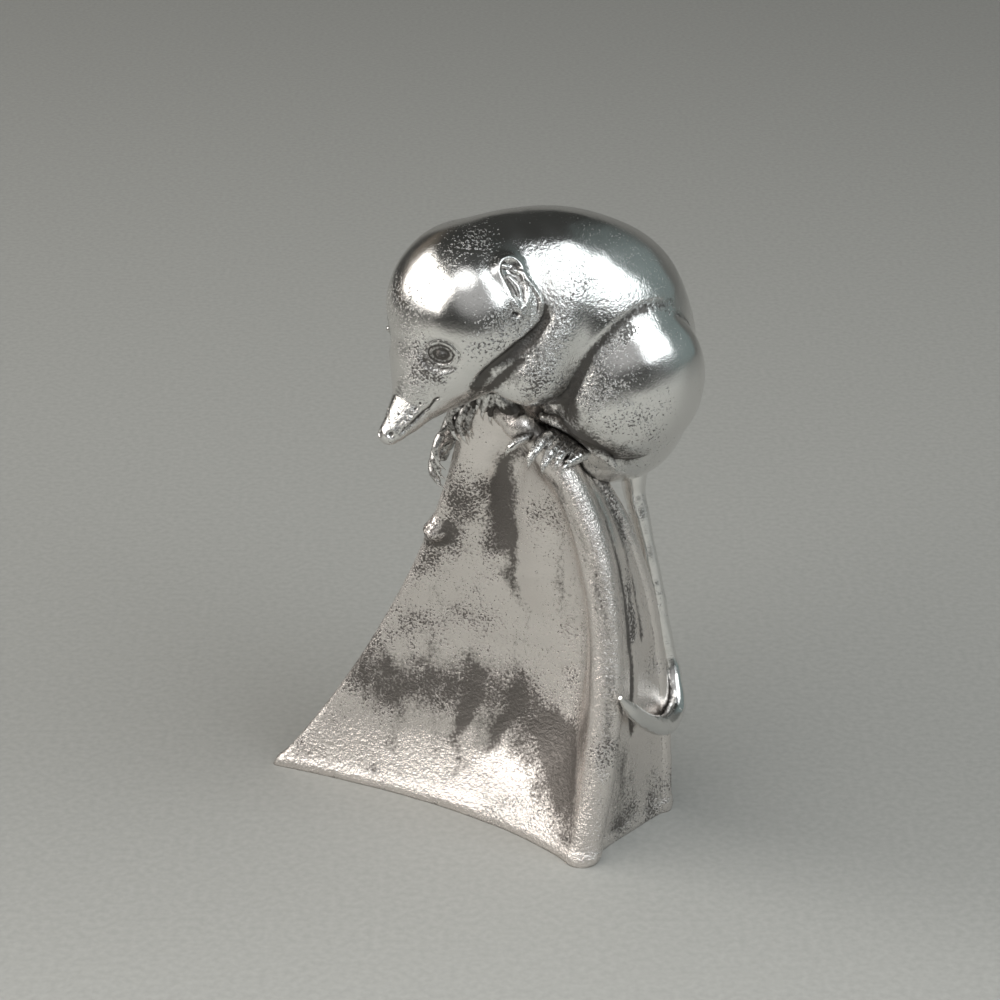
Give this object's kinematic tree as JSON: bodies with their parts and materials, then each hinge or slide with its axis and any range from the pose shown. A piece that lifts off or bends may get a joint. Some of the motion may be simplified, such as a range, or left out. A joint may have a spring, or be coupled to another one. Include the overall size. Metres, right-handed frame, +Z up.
{
  "type": "shrew figurine",
  "caption": "Cast silver shrew crouched on the apex of a tall three-ridged perch, gripping two ridges, with its tail wrapped round the side.",
  "frame": {"origin": "under the middle of the bounding box, on the surface that the perch stands on", "axes": "+Z up; the shrew's head points to -X and a little to -Y, the front of the perch faces -Y"},
  "size_m": [0.0657, 0.0358, 0.0972],
  "materials": {
    "perch_silver": "satin",
    "shrew_silver": "polished",
    "paw_silver": "satin",
    "plate_silver": "matte"
  },
  "bodies": {
    "root": {"perch_casting": "perch_silver", "floor_plate": "plate_silver", "trunk_casting": "shrew_silver", "head_casting": "shrew_silver", "left_foreleg": "shrew_silver", "right_foreleg": "shrew_silver", "left_hind_leg": "shrew_silver", "right_hind_leg": "shrew_silver", "left_forepaw": "paw_silver", "right_forepaw": "paw_silver", "left_hind_foot": "paw_silver", "right_hind_foot": "paw_silver", "tail": "shrew_silver", "front_mounting_pin": "plate_silver", "rear_mounting_pin": "plate_silver", "neck_pin": "plate_silver"}
  },
  "joints": []
}
